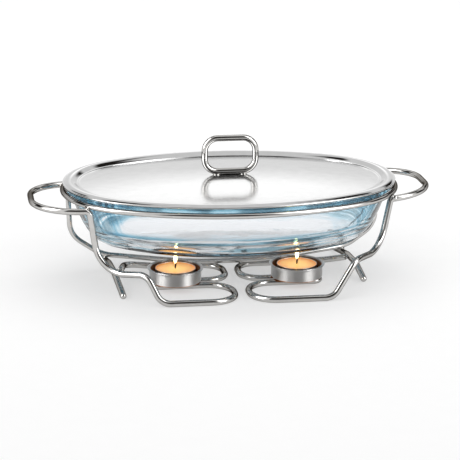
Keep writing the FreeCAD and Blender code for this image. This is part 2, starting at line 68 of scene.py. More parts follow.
def oval(inset, end_set=None):
    """The ring's oval set in evenly: at the normal's direction t a point is the centre of that arc
    plus its radius times (cos t, sin t); two end arcs and two side arcs meet where their normals agree.
    inset and end_set, the insets of the sides and of the ends, may be columns, one row of points each."""
    side = np.atleast_1d(np.asarray(inset, float))[:, None]
    end = side if end_set is None else np.atleast_1d(np.asarray(end_set, float))[:, None]
    length, width, end_radius = RING_LENGTH - end, RING_WIDTH - side, RING_END - end
    side_radius = (length ** 2 + width ** 2 - 2 * length * end_radius) / (2 * (width - end_radius))
    meet = np.arctan2(side_radius - width, length - end_radius)
    turn = np.linspace(0, 2 * np.pi, ROUND_OVAL, endpoint=False)[None, :]
    on_side = np.abs(np.sin(turn)) > np.sin(meet)
    radius = np.where(on_side, side_radius, end_radius)
    middle_x = np.where(on_side, 0.0, np.sign(np.cos(turn)) * (length - end_radius))
    middle_y = np.where(on_side, -np.sign(np.sin(turn)) * (side_radius - width), 0.0)
    return np.stack([middle_x + radius * np.cos(turn), middle_y + radius * np.sin(turn)], axis=-1)


def skin(name, rows, loop=False):
    """A closed surface over a grid of points rows[along, around]: around always closes, along closes if
    loop is set, and a first or last row shrunk to a point becomes one vertex. Faces are turned outwards."""
    count, around = rows.shape[:2]
    index = np.arange(count * around).reshape(count, around)
    points = rows.reshape(-1, 3)
    beside = np.roll(index, -1, axis=1)
    if loop:
        quads = np.stack([index, beside, np.roll(beside, -1, axis=0), np.roll(index, -1, axis=0)], axis=-1)
    else:
        quads = np.stack([index[:-1], beside[:-1], beside[1:], index[1:]], axis=-1)
    quads = quads.reshape(-1, 4)
    near, far = points[quads[:, 0]], points[quads[:, 2]]
    across = np.cross(far - near, points[quads[:, 3]] - points[quads[:, 1]])
    if np.einsum("ij,ij->", (near + far) / 2 - points.mean(axis=0), across) < 0:
        quads = quads[:, ::-1]
    mesh = bpy.data.meshes.new(name)
    mesh.from_pydata(points.tolist(), [], quads.tolist())
    piece = bpy.data.objects.new(name, mesh)
    bpy.context.scene.collection.objects.link(piece)
    if not loop:
        close_poles(mesh)
    mesh.polygons.foreach_set("use_smooth", np.ones(len(mesh.polygons), bool))
    mesh.update()
    return piece


def close_poles(mesh):
    """Merge the points of a row that has shrunk to nothing, so that the surface has no hole there."""
    shape = bmesh.new()
    shape.from_mesh(mesh)
    bmesh.ops.remove_doubles(shape, verts=shape.verts, dist=1e-8)
    shape.to_mesh(mesh)
    shape.free()


def tube(name, path, heading, radius, loop=False, ends=0.0):
    """A round wire: at each station of the path a circle of this radius stands square to the heading.
    The circle's zero direction is carried along without twist. Ends are half ellipsoids this long."""
    if not loop:
        swing = np.linspace(0, np.pi / 2, TIP_ROWS + 1)
        start = path[0] - heading[0] * (ends * np.cos(swing[:-1]))[:, None]
        finish = path[-1] + heading[-1] * (ends * np.sin(swing[1:]))[:, None]
        thick = np.concatenate([radius * np.sin(swing[:-1]), np.full(len(path), radius),
                                radius * np.cos(swing[1:])])
        path = np.concatenate([start, path, finish])
        heading = np.concatenate([np.repeat(heading[:1], TIP_ROWS, 0), heading,
                                  np.repeat(heading[-1:], TIP_ROWS, 0)])
    else:
        thick = np.full(len(path), radius)
    off_heading = [0.3, 0.2, 1.0]
    side = np.zeros_like(path)
    side[0] = np.cross(heading[0], off_heading)
    for station in range(len(path)):
        carried = side[max(station - 1, 0)]
        carried = carried - heading[station] * np.dot(carried, heading[station])
        side[station] = carried / np.linalg.norm(carried)
    other = np.cross(heading, side)
    turn = np.linspace(0, 2 * np.pi, ROUND_WIRE, endpoint=False)[None, :, None]
    spoke = side[:, None] * np.cos(turn) + other[:, None] * np.sin(turn)
    return skin(name, path[:, None] + thick[:, None, None] * spoke, loop)


class Value:
    """A shader socket that can be used in sums: an expression on it adds its Math nodes."""

    def __init__(self, shade, socket):
        self.shade = shade
        self.socket = socket

    def work(self, operation, first, second=0.0):
        """One Math node on one or two values."""
        return self.shade.add("ShaderNodeMath", {"operation": operation}, {0: first, 1: second})

    def larger(self, other):
        return self.work("MAXIMUM", self, other)

    def __add__(self, other):
        return self.work("ADD", self, other)

    def __sub__(self, other):
        return self.work("SUBTRACT", self, other)

    def __rsub__(self, other):
        return self.work("SUBTRACT", other, self)

    def __mul__(self, other):
        return self.work("MULTIPLY", self, other)

    def __truediv__(self, other):
        return self.work("DIVIDE", self, other)

    def __pow__(self, other):
        return self.work("POWER", self, other)

    __radd__ = __add__
    __rmul__ = __mul__


class Shade:
    """The node tree of one material or of the world."""

    def __init__(self, owner):
        owner.use_nodes = True
        self.tree = owner.node_tree
        self.tree.nodes.clear()

    def add(self, kind, settings=None, inputs=None, output=0):
        """Make a node: its settings first, then its sockets, each a value or a link."""
        node = self.tree.nodes.new(kind)
        for key, value in (settings or {}).items():
            if key == "stops":
                ramp = node.color_ramp
                while len(ramp.elements) < len(value):
                    ramp.elements.new(0.5)
                for element, (place, colour) in zip(ramp.elements, value):
                    element.position = place
                    element.color = (*colour, 1.0)
            else:
                setattr(node, key, value)
        for key, value in (inputs or {}).items():
            if isinstance(value, Value):
                self.tree.links.new(value.socket, node.inputs[key])
            else:
                node.inputs[key].default_value = value
        return Value(self, node.outputs[output] if len(node.outputs) else None)

    def place(self):
        """Where a point is, in metres; every object stands at the origin."""
        return self.add("ShaderNodeTexCoord", output="Object")

    def axis(self, vector, name):
        """One part of a vector: X, Y or Z."""
        return self.add("ShaderNodeSeparateXYZ", None, {0: vector}, name)

    def vector(self, operation, first, second=(0.0, 0.0, 0.0)):
        """One Vector Math node whose result is a vector."""
        return self.add("ShaderNodeVectorMath", {"operation": operation}, {0: first, 1: second})

    def length(self, vector):
        """How long a vector is."""
        return self.add("ShaderNodeVectorMath", {"operation": "LENGTH"}, {0: vector}, "Value")

    def rise(self, value, start, end, soft=True):
        """Nothing up to start and one from end on; start may be the larger. Soft rounds both corners."""
        kind = "SMOOTHSTEP" if soft else "LINEAR"
        return self.add("ShaderNodeMapRange", {"interpolation_type": kind},
                        {"Value": value, 1: start, 2: end})

    def ramp(self, value, *stops):
        """The colour at a value between the stops (value, colour)."""
        return self.add("ShaderNodeValToRGB", {"stops": stops}, {0: value})

    def blend(self, share, first, second):
        """The first colour where share is nothing and the second where it is one."""
        return self.add("ShaderNodeMix", {"data_type": "RGBA"}, {"Factor": share, 6: first, 7: second}, 2)

    def grain(self, scale, detail=3.0, where=None):
        """Even random grain between 0 and 1."""
        return self.add("ShaderNodeTexNoise", None,
                        {"Vector": where or self.place(), "Scale": scale, "Detail": detail}, "Fac")

    def ray(self, kind):
        """One for a ray of this kind and nothing for the others."""
        return self.add("ShaderNodeLightPath", output="Is %s Ray" % kind)

    def onlookers(self):
        """One for what the camera sees, also through glass; nothing for the light itself."""
        return self.ray("Camera").larger(self.ray("Transmission"))

    def surface(self, **sockets):
        """Put one Principled surface on the material; underscores in a name stand for spaces."""
        named = {key.replace("_", " "): value for key, value in sockets.items()}
        principled = self.add("ShaderNodeBsdfPrincipled", None, named)
        self.add("ShaderNodeOutputMaterial", None, {"Surface": principled})
        return principled


def bright_wire(name, colour):
    """Chromed steel wire: near-mirror, with faint drawing marks and handling haze."""
    material = bpy.data.materials.new(name)
    shade = Shade(material)
    haze = shade.grain(220, 4.0)
    marks = shade.grain(2600, 2.0)
    hazed = tuple(0.93 * part for part in colour)
    tone = shade.ramp(haze, (0.35, hazed), (0.65, colour))
    bumps = shade.add("ShaderNodeBump", None,
                      {"Strength": 0.02, "Distance": 0.1 * MM, "Height": haze + marks})
    shade.surface(Base_Color=tone, Metallic=1.0, Roughness=0.02 + 0.04 * haze, Normal=bumps,
                  Specular_Tint=(0.1, 0.09, 0.08, 1))
    return material


chrome = bright_wire("chromed_wire", CHROME_COLOUR)


def dress(piece, material, body, replaced=()):
    """Give a piece its material, its body and the CAD nodes that it stands for."""
    piece.data.materials.clear()
    piece.data.materials.append(material)
    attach(piece, body)
    if replaced:
        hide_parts(*replaced)
    return piece


ring_line = oval(0.0)[0]
ring_path = np.column_stack([ring_line, np.full(ROUND_OVAL, RING_HEIGHT)])
ring_turn = np.linspace(0, 2 * np.pi, ROUND_OVAL, endpoint=False)
ring_heading = np.column_stack([-np.sin(ring_turn), np.cos(ring_turn), np.zeros(ROUND_OVAL)])
dress(tube("ring_wire", ring_path, ring_heading, RING_WIRE, loop=True), chrome, "stand", ["top_ring"])


# The two end wires are each one length of thicker chromed wire. Each makes a carrying handle, a front
# leg, a loop on the table, the two runs under a candle cup and a loop behind the cup.
FRAME_WIRE = 3 * MM
FRAME_TIP = 0.6 * MM
# Corners in millimetres, outwards is +X: from the handle's rear end under the ring, round the handle
# and down the leg to the table.
LEFT_HANDLE_AND_LEG = [(142.36, 46, 79.34), (190.5, 46, 80.34), (190.5, -57, 80.95), (139.65, -57, 79.95),
                       (130.9, -59, 20.6), (90.5, -92.5, 27.7), (78.5, -104, 3)]
RIGHT_HANDLE_AND_LEG = [(134.65, 57, 79.07), (190.5, 57, 83.07), (190.5, -46, 83.71), (147.36, -46, 79.71),
                        (136, -54, 32), (105, -92.5, 35), (82, -104, 3)]
# The flat loops and the two runs under the cup, the same on both sides.
LOOPS = [(7, -104, 3), (7, -51.5, 3), (79.7, -51.5, 3), (79.7, -37, 3), (7, -37, 3), (7, 12, 3),
         (64, 12, 3)]
# From the loop behind the cup up to the foot bar.
LEFT_END = [(101, 12, 7), (108.36, -24, 11.05)]
RIGHT_END = [(95, 8, 5), (113.9, -4, 10.72)]
# The radius of the bend at each corner between the two ends.
END_BENDS = [42, 42, 4.5, 28, 14, 14, 24, 24, 7, 7, 20, 20, 60, 14]


def unit(vector):
    return vector / np.linalg.norm(vector)


def bent_path(corners, radii, step=math.radians(6)):
    """Straight runs joined by tangent arcs. At a corner with half angle h and inward unit bisector m the
    arc of radius r has its centre at the corner + m r / sin h, and is swept evenly in the corner's plane.
    Gives the stations and the heading at each."""
    corners = np.asarray(corners, float)
    stations, headings = [corners[:1]], [unit(corners[1] - corners[0])[None]]
    for last, corner, after, radius in zip(corners, corners[1:], corners[2:], radii):
        back, ahead = unit(last - corner), unit(after - corner)
        half = math.acos(float(np.dot(back, ahead))) / 2
        inward, onward = unit(back + ahead), unit(ahead - back)
        sweep = np.pi / 2 - half
        angle = np.linspace(-sweep, sweep, max(3, 1 + math.ceil(2 * sweep / step)))[:, None]
        centre = corner + inward * (radius / math.sin(half))
        stations.append(centre + radius * (onward * np.sin(angle) - inward * np.cos(angle)))
        headings.append(onward * np.cos(angle) + inward * np.sin(angle))
    stations.append(corners[-1:])
    headings.append(unit(corners[-1] - corners[-2])[None])
    return np.concatenate(stations), np.concatenate(headings)


for side_name, side, first, last in (("left", -1, LEFT_HANDLE_AND_LEG, LEFT_END),
                                     ("right", 1, RIGHT_HANDLE_AND_LEG, RIGHT_END)):
    route = np.array(first + LOOPS + last) * (side, 1, 1) * MM
    path, heading = bent_path(route, np.array(END_BENDS) * MM)
    end_wire = tube(side_name + "_end_run", path, heading, FRAME_WIRE, ends=FRAME_TIP)
    dress(end_wire, chrome, "stand", [side_name + "_end_wire"])


# The cradle wire is a thinner chromed wire behind the legs. Its ends butt under the ring, and it runs
# low under the dish, over the foot bars and the loops' ends, and ties the stand together.
CRADLE_WIRE = 2.5 * MM
CRADLE_TIP = 0.5 * MM
cradle_half = np.array([(152.92, 35, 82.1), (151, 35, 31.5), (121.5, 27, 13.3), (36, 6, 8.55)]) * MM
cradle_bends = np.array([22, 40, 150]) * MM
path, heading = bent_path(np.concatenate([cradle_half * (-1, 1, 1), cradle_half[::-1]]),
                          np.concatenate([cradle_bends, cradle_bends[::-1]]))
dress(tube("cradle_run", path, heading, CRADLE_WIRE, ends=CRADLE_TIP), chrome, "stand", ["cradle_wire"])


# Each foot bar is a short length of the thicker wire, bent down to the table at both ends.
# Its tips are ground round, so that they don't scratch the table.
FOOT_SWING = 0.07
FOOT_BEND = 30 * MM
FOOT_ACROSS = [-23 * MM, 5 * MM, 57 * MM]
for side_name, middle_x, front, crest in (("left", -116 * MM, -75 * MM, 11.046 * MM),
                                          ("right", 118.5 * MM, -51 * MM, 10.716 * MM)):
    across = np.array([front] + FOOT_ACROSS)
    line = np.column_stack([middle_x - FOOT_SWING * across, across, [FRAME_WIRE, crest, crest, FRAME_WIRE]])
    path, heading = bent_path(line, [FOOT_BEND, FOOT_BEND])
    dress(tube(side_name + "_foot", path, heading, FRAME_WIRE, ends=FRAME_WIRE), chrome, "stand",
          [side_name + "_foot_bar"])


# The joints of the stand are small resistance welds: where two wires cross, the metal has flowed into
# a low bright bead that fills the corner between them.
BEAD_ROWS = 13
ROUND_BEAD = 20


def bead(name, middle, size):
    """An ellipsoid: latitude v and longitude u give middle + size (cos v cos u, cos v sin u, sin v)."""
    latitude = np.linspace(-np.pi / 2, np.pi / 2, BEAD_ROWS)[:, None]
    longitude = np.linspace(0, 2 * np.pi, ROUND_BEAD, endpoint=False)[None, :]
    ball = np.stack([np.cos(latitude) * np.cos(longitude), np.cos(latitude) * np.sin(longitude),
                     np.sin(latitude) * np.ones_like(longitude)], axis=-1)
    return skin(name, np.array(middle) + ball * np.array(size))


# Name, middle and half sizes, in millimetres.
WELDS = [
    ("left_handle_front", (-141.3, -56.3, 82.6), (2.6, 2.6, 1.3)),
    ("left_handle_rear", (-147.3, 46, 82.5), (2.8, 2.8, 1.2)),
    ("right_handle_front", (148.6, -45.5, 82.6), (2.6, 2.6, 1.3)),
    ("right_handle_rear", (139.9, 56.9, 82.5), (2.8, 2.8, 1.2)),
    ("left_cradle", (-152.9, 35, 82.3), (2.9, 2.9, 1.2)),
    ("right_cradle", (152.9, 35, 82.3), (2.9, 2.9, 1.2)),
    ("left_foot", (-117.6, 25.6, 10.9), (2.8, 2.8, 1.2)),
    ("right_foot", (116.7, 25.4, 10.7), (2.8, 2.8, 1.2)),
    ("left_loop", (-12.7, 6, 6.05), (2.6, 2.6, 1.1)),
    ("right_loop", (12.7, 6, 6.05), (2.6, 2.6, 1.1)),
    ("left_lap", (-111.3, -23.6, 11.0), (1.4, 2.6, 2.4)),
    ("right_lap", (115.5, -2.6, 10.6), (1.4, 2.6, 2.4)),
]
for weld_name, place, size in WELDS:
    weld = bead("weld_" + weld_name, np.array(place) * MM, np.array(size) * MM)
    dress(weld, chrome, "stand")


# The candle cups are pressed from thin steel and polished; each has a rolled lip and stands on the
# two wire runs, where it is spot-welded. Inside, near the lip, they are painted brown for the flame's light
# on the inner wall.
CUP_REACH = 58.2 * MM
CUP_FORWARD = 44.25 * MM
CUP_RADIUS = 24.5 * MM
CUP_LIP = 2 * MM
CUP_HEIGHT = 13.5 * MM
CUP_SHEET = 0.8 * MM
CUP_FLOOR = 2 * FRAME_WIRE + 0.05 * MM
CUP_BENDS = np.array([2.5, 0.4, 0.38, 0.38, 0.7, 1.7]) * MM
ROUND_CUP = 96
STEEL_COLOUR = (0.62, 0.61, 0.6, 1)
PAINTED_FLAME_LIGHT_BROWN = (0.42, 0.17, 0.06, 1)


def turned(name, outline, radii, middle):
    """A turned piece: the rounded outline (radius, height) swept round the upright axis through middle."""
    profile = bent_path(np.array(outline, float), radii, math.radians(22))[0]
    turn = np.linspace(0, 2 * np.pi, ROUND_CUP, endpoint=False)[None, :]
    rows = np.stack([profile[:, :1] * np.cos(turn), profile[:, :1] * np.sin(turn),
                     profile[:, 1:] * np.ones_like(turn)], axis=-1)
    return skin(name, rows + np.array(middle))


def off_candle(shade, where):
    """How far a point is from the upright axis of its candle. The two are mirrored and share one axis."""
    axis = (CUP_REACH, CUP_FORWARD, 0.0)
    from_axis = shade.vector("SUBTRACT", shade.vector("ABSOLUTE", where), axis)
    return shade.length(shade.vector("MULTIPLY", from_axis, (1.0, 1.0, 0.0)))


def cup_steel():
    """Polished pressed steel, painted brown on the inside near the lip for the flame's light on it."""
    material = bpy.data.materials.new("polished_steel")
    shade = Shade(material)
    where = shade.place()
    haze = shade.grain(160, 4.0)
    inside = shade.rise(off_candle(shade, where), CUP_RADIUS - 0.3 * MM, CUP_RADIUS - 0.7 * MM, soft=False)
    lip = CUP_FLOOR + CUP_HEIGHT
    depth = shade.rise(shade.axis(where, "Z"), lip - 0.4 * MM, lip - 2.0 * MM, soft=False)
    # painted light: the inner wall near the lip is painted warm brown for the flame's light falling on it
    tone = shade.blend(inside * depth, STEEL_COLOUR, PAINTED_FLAME_LIGHT_BROWN)
    shade.surface(Base_Color=tone, Metallic=1.0, Roughness=0.48 + 0.08 * haze + 0.1 * inside * depth,
                  Anisotropic=0.97, Anisotropic_Rotation=0.25)
    return material


steel = cup_steel()
cup_outline = [
    (0, 0), (CUP_RADIUS, 0), (CUP_RADIUS, CUP_HEIGHT - CUP_SHEET),
    (CUP_RADIUS + CUP_LIP, CUP_HEIGHT - CUP_SHEET), (CUP_RADIUS + CUP_LIP, CUP_HEIGHT),
    (CUP_RADIUS - CUP_SHEET, CUP_HEIGHT), (CUP_RADIUS - CUP_SHEET, CUP_SHEET), (0, CUP_SHEET)]
for side_name, side in (("left", -1), ("right", 1)):
    middle = (side * CUP_REACH, -CUP_FORWARD, CUP_FLOOR)
    cup = turned(side_name + "_cup", cup_outline, CUP_BENDS, middle)
    dress(cup, steel, "stand", [side_name + "_candle_cup"])


# A tealight stands loose in each cup: a thin aluminium tray of cream wax with a waxed cotton wick in
# a small tin sustainer. The wax is melted round the wick and has a painted glow for the flame's light in
# it.
TRAY_RADIUS = 19 * MM
TRAY_HEIGHT = 12.2 * MM
TRAY_SHEET = 0.3 * MM
WAX_TOP = TRAY_HEIGHT - 0.9 * MM
WAX_GAP = 0.05 * MM
WICK_RADIUS = 0.8 * MM
WICK_TIP = 0.4 * MM
WICK_BEND = 8 * MM
# Corners over the middle of the tray's underside.
WICK_LINE = np.array([(0, 0, 0.9), (0, 0, 13), (0.5, 0, 17.3)]) * MM
FOOT_RADIUS = 6.5 * MM
FOOT_SHEET = 0.35 * MM
TRAY_FLOOR = CUP_FLOOR + CUP_SHEET + 0.05 * MM
TRAY_BENDS = np.array([1.2, 0.12, 0.12, 0.9]) * MM
WAX_BENDS = np.array([0.5, 0.1, 1.5, 3.0, 1.0]) * MM


def tray_tin():
    """Thin bright aluminium with fine rolling marks."""
    material = bpy.data.materials.new("candle_tray")
    shade = Shade(material)
    haze = shade.grain(500, 3.0)
    tone = shade.ramp(haze, (0.3, (0.62, 0.6, 0.58)), (0.7, (0.8, 0.78, 0.76)))
    shade.surface(Base_Color=tone, Metallic=1.0, Roughness=0.22 + 0.15 * haze)
    return material


def candle_wax():
    """Cream wax: deep orange at the tray, pale yellow at the wick, with a painted glow, brightest at the
    wick, for the flame's light within it.
    """
    material = bpy.data.materials.new("wax")
    shade = Shade(material)
    cloud = shade.grain(140, 3.0) - 0.5
    out = off_candle(shade, shade.place()) / TRAY_RADIUS + 0.25 * cloud
    tone = shade.ramp(out, (0.0, (1.0, 0.72, 0.25)), (0.3, (0.98, 0.66, 0.24)), (0.75, (0.93, 0.58, 0.22)),
                      (1.0, (0.8, 0.36, 0.1)))
    # painted light: an emission glow, brightest at the wick, for the flame's light in the wax
    painted_flame_glow = shade.ramp(out, (0.0, (1.0, 0.66, 0.2)), (0.35, (0.8, 0.44, 0.12)), (1.0, (0.55, 0.2, 0.04)))
    shade.surface(Base_Color=tone, Roughness=0.35 + 0.2 * cloud, Subsurface_Weight=0.3,
                  Subsurface_Radius=(0.004, 0.002, 0.001), Subsurface_Scale=1.0,
                  Emission_Color=painted_flame_glow, Emission_Strength=0.75)
    return material


def charred_cotton():
    """Waxed cotton, brown in the wax and charred black above it."""
    material = bpy.data.materials.new("wick")
    shade = Shade(material)
    up = shade.rise(shade.axis(shade.place(), "Z"), TRAY_FLOOR + WAX_TOP, TRAY_FLOOR + WAX_TOP + 2 * MM,
                    soft=False)
    charred = up * (0.8 + 0.4 * shade.grain(1500))
    tone = shade.blend(charred, (0.35, 0.2, 0.08, 1), (0.012, 0.009, 0.008, 1))
    shade.surface(Base_Color=tone, Roughness=0.9)
    return material


tin, wax, cotton = tray_tin(), candle_wax(), charred_cotton()
tray_outline = [(0, 0), (TRAY_RADIUS, 0), (TRAY_RADIUS, TRAY_HEIGHT),
                (TRAY_RADIUS - TRAY_SHEET, TRAY_HEIGHT), (TRAY_RADIUS - TRAY_SHEET, TRAY_SHEET),
                (0, TRAY_SHEET)]
wax_radius = TRAY_RADIUS - TRAY_SHEET - WAX_GAP
wax_outline = [(0, 0.4 * MM), (wax_radius, 0.4 * MM), (wax_radius, WAX_TOP + 0.35 * MM),
               (wax_radius - 1.2 * MM, WAX_TOP), (5 * MM, WAX_TOP - 0.25 * MM),
               (1.6 * MM, WAX_TOP - 0.1 * MM), (0, WAX_TOP + 0.4 * MM)]
foot_outline = [(0, 0), (FOOT_RADIUS, 0), (FOOT_RADIUS, FOOT_SHEET), (0, FOOT_SHEET)]
for side_name, side in (("left", -1), ("right", 1)):
    body = side_name + "_candle"
    middle = np.array([side * CUP_REACH, -CUP_FORWARD, TRAY_FLOOR])
    tray = turned(side_name + "_tealight_tray", tray_outline, TRAY_BENDS, middle)
    dress(tray, tin, body, [side_name + "_candle_tray"])
    fill = turned(side_name + "_tealight_wax", wax_outline, WAX_BENDS, middle)
    dress(fill, wax, body, [side_name + "_candle_wax"])
    path, heading = bent_path(WICK_LINE + middle, [WICK_BEND])
    dress(tube(side_name + "_wick", path, heading, WICK_RADIUS, ends=WICK_TIP), cotton, body,
          [side_name + "_candle_wick"])
    foot = turned(side_name + "_tin_foot", foot_outline, np.array([0.1, 0.1]) * MM,
                  middle + (0, 0, TRAY_SHEET))
    dress(foot, tin, body, [side_name + "_wick_sustainer"])


# The flame is a thin teardrop of burning vapour round the wick: clear and blue at its foot, yellow and
# nearly white above, deep orange at its tip.
FLAME_FOOT = TRAY_FLOOR + WAX_TOP + 4.2 * MM
FLAME_HEIGHT = 13.2 * MM
FLAME_RADIUS = 2.1 * MM
FLAME_ROWS = 25
ROUND_FLAME = 24


def flame_glow():
    """Burning vapour that gives its own light and is thinnest at the foot and at the tip."""
    material = bpy.data.materials.new("flame")
    shade = Shade(material)
    up = (shade.axis(shade.place(), "Z") - FLAME_FOOT) / FLAME_HEIGHT
    tone = shade.ramp(up, (0.0, (0.25, 0.2, 0.5)), (0.12, (1.0, 0.45, 0.1)), (0.3, (1.0, 0.8, 0.42)),
                      (0.7, (1.0, 0.72, 0.3)), (1.0, (1.0, 0.35, 0.05)))
    solid = shade.ramp(up, (0.0, (0.1, 0.1, 0.1)), (0.2, (0.75, 0.75, 0.75)), (0.6, (0.95, 0.95, 0.95)),
                       (1.0, (0.35, 0.35, 0.35)))
    shade.surface(Base_Color=(0, 0, 0, 1), Roughness=1.0, Specular_IOR_Level=0.0, Alpha=solid,
                  Emission_Color=tone, Emission_Strength=9.0)
    return material


def teardrop(foot):
    """A flame on a foot point: its radius at share s of the height is 2.05 R s^0.6 (1 - s)^0.9, fullest
    low and drawn out above."""
    share = np.linspace(0, 1, FLAME_ROWS)[:, None]
    turn = np.linspace(0, 2 * np.pi, ROUND_FLAME, endpoint=False)[None, :]
    radius = FLAME_RADIUS * 2.05 * share ** 0.6 * (1 - share) ** 0.9
    return np.stack([foot[0] + radius * np.cos(turn), foot[1] + radius * np.sin(turn),
                     foot[2] + FLAME_HEIGHT * share * np.ones_like(turn)], axis=-1)


fire = flame_glow()
for side_name, side in (("left", -1), ("right", 1)):
    rows = teardrop((side * CUP_REACH, -CUP_FORWARD, FLAME_FOOT))
    flame = dress(skin(side_name + "_flame", rows), fire, side_name + "_candle")
    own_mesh(flame)


# The dish is pressed glass: a deep oval bowl with thick clear walls that round into a flat floor, and a
# flat rim that hangs in the ring. Seen along its thickness the glass turns blue.
dish_low, dish_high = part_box("glass_dish")
DISH_RIM_INSET = 1.0 * MM
DISH_RIM_THICKNESS = 4.8 * MM
DISH_HEIGHT = dish_high[2] - dish_low[2] - DISH_RIM_THICKNESS
DISH_WALL_INSET = 6.5 * MM
DISH_BOTTOM_END = 38 * MM
DISH_BOTTOM_SIDE = 30 * MM
DISH_WALL = 4.5 * MM
DISH_FLOOR = 5.5 * MM
WALL_LENGTH = RING_LENGTH - 30 * MM
WALL_WIDTH = RING_WIDTH - 15 * MM
STREAKS_TOP = 24 * MM
STREAKS_FULL = 15 * MM
ENDS_FROM = 105 * MM
ENDS_FULL = 130 * MM
GLASS_TINT = (0.05, 0.64, 0.86, 1)


def bowl(thickness, floor, share):
    """One side of the bowl wall: at share s of the height the ends are set in by the bottom's inset less
    s^0.45 of the widening, the sides by s^0.32 of it, so that the wall rounds up out of the floor."""
    end = DISH_BOTTOM_END - (DISH_BOTTOM_END - DISH_WALL_INSET) * share ** 0.45 + thickness
    side = DISH_BOTTOM_SIDE - (DISH_BOTTOM_SIDE - DISH_WALL_INSET) * share ** 0.32 + thickness
    flat = oval(side, end)
    height = dish_low[2] + floor + (DISH_HEIGHT - floor) * share
    return np.concatenate([flat, np.broadcast_to(height[:, None, None], flat.shape[:2] + (1,))], axis=-1)


def level(outline, spreads):
    """Copies of a level outline shrunk towards its middle, one row for each share of its size."""
    spreads = np.asarray(spreads)[:, None, None]
    return outline[None] * np.concatenate([spreads, spreads, np.ones_like(spreads)], axis=-1)


def rim_rows(profile):
    """Rows of the oval for a profile of (inset, height) points."""
    flat = oval(profile[:, 0])
    height = np.broadcast_to(profile[:, 1][:, None, None], flat.shape[:2] + (1,))
    return np.concatenate([flat, height], axis=-1)


def clear_glass():
    """Clear soda-lime glass with level streaks that the pressing leaves low on the wall. Its colour is
    painted blue, deepening nearly to black: partly the glass's own blue seen edge on, partly painted dark
    reflection, towards the silhouettes, in the low streaks, in upright streaks at both ends and on the rim,
    which has patches of painted shade."""
    material = bpy.data.materials.new("clear_glass")
    shade = Shade(material)
    where = shade.place()
    reach = shade.add("ShaderNodeMath", {"operation": "ABSOLUTE"}, {0: shade.axis(where, "X")})
    height = shade.axis(where, "Z") - dish_low[2]
    on_oval = shade.vector("MULTIPLY", where, (1 / WALL_LENGTH, 1 / WALL_WIDTH, 0.0))
    wall = shade.rise(shade.length(on_oval), 0.8, 0.9, soft=False)
    rim = shade.rise(height, DISH_HEIGHT, DISH_HEIGHT + 1.0 * MM, soft=False)
    low = shade.rise(height, STREAKS_TOP, STREAKS_FULL)
    ends = shade.rise(reach, ENDS_FROM, ENDS_FULL)
    edge_on = shade.add("ShaderNodeLayerWeight", None, {"Blend": 0.5}, "Facing") ** 3.0
    drawn_out = shade.vector("MULTIPLY", where, (9.0, 9.0, 260.0))
    streaks = shade.rise(shade.grain(1.0, 2.0, drawn_out), 0.47, 0.6)
    around = shade.add("ShaderNodeCombineXYZ", None, {
        "X": shade.axis(where, "Y") * 26.0 / reach, "Y": height * 12.0, "Z": shade.axis(where, "X") * 3.0})
    upright = shade.rise(shade.grain(1.0, 2.0, around), 0.46, 0.58)
    rim_painted_shade_patches = shade.rise(shade.grain(30.0, 1.0, where), 0.42, 0.58)
    # painted reflection and shade: the glass is painted blue to nearly black at its edges, ends, low
    # streaks and rim, partly its own edge-on blue
    own_blue_and_painted_dark = (wall * ((edge_on * 0.5 + ends * upright * 0.75) * (1.0 - low) + streaks * low * 0.85)
            + rim * (0.55 + 0.4 * rim_painted_shade_patches))
    tone = shade.ramp(own_blue_and_painted_dark, (0.0, (0.99, 0.99, 1.0)), (0.4, (0.34, 0.66, 0.82)), (0.75, (0.17, 0.37, 0.48)),
                      (1.0, (0.01, 0.05, 0.08)))
    bumps = shade.add("ShaderNodeBump", None, {"Strength": 0.25, "Distance": 0.8 * MM,
                                               "Height": streaks * low + shade.grain(38, 2.0)})
    principled = shade.add("ShaderNodeBsdfPrincipled", None, {
        "Base Color": tone, "Roughness": 0.0, "IOR": 1.5, "Transmission Weight": 1.0, "Normal": bumps})
    tint = shade.add("ShaderNodeVolumeAbsorption", None, {"Color": GLASS_TINT, "Density": 2.5})
    shade.add("ShaderNodeOutputMaterial", None, {"Surface": principled, "Volume": tint})
    return material


share = np.linspace(0, 1, 29) ** 3
outside = bowl(0.0, 0.0, share)
inside = bowl(DISH_WALL, DISH_FLOOR, share)
rim_top = dish_high[2]
rim_under = rim_top - DISH_RIM_THICKNESS
rim_corners = [(DISH_WALL_INSET, rim_under - 1.5 * MM), (DISH_WALL_INSET - 0.3 * MM, rim_under),
               (DISH_RIM_INSET, rim_under), (DISH_RIM_INSET, rim_top),
               (DISH_WALL_INSET + DISH_WALL, rim_top), (DISH_WALL_INSET + DISH_WALL, rim_under - 1.0 * MM)]
rim_bends = np.array([0.7, 1.4, 1.4, 1.4]) * MM
rim_profile = bent_path(np.array(rim_corners), rim_bends, math.radians(15))[0]
spreads = np.linspace(0, 1, 9)[:-1]
dish_rows = np.concatenate([
    level(outside[0], spreads), outside[:-1], rim_rows(rim_profile), inside[-2::-1],
    level(inside[0], spreads[::-1])])
dish_glass = dress(skin("dish_glass", dish_rows), clear_glass(), "dish", ["glass_dish"])
# Light falls through the clear glass onto the table.
dish_glass.visible_shadow = False


# The lid is one pressing of polished stainless sheet: a shallow buffed dome in a sunk oval, and a
# mirror-bright rounded flange whose rolled edge lies on the glass. It lifts off; nothing hinges it.
lid_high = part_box("lid")[1]
LID_SHEET = 1.0 * MM
LID_BEAD = 0.8 * MM
LID_FLANGE = 16 * MM
LID_RECESS = 1.7 * MM
LID_RISE = 5.5 * MM
LID_UNDERSIDE = lid_high[2] - LID_RISE + LID_RECESS - LID_SHEET
FLANGE_FOOT = LID_SHEET - LID_RECESS + 0.05 * MM
FLANGE_FOOT_INSET = LID_FLANGE + 0.2 * MM
FLANGE_CREST = 2.93 * MM
CREST_INSET = 7 * MM
FALL_REACH = 6.5 * MM
FALL_DROP = 3.2 * MM
FALL_SHARE = 0.88
DOME_SHARE = 0.985


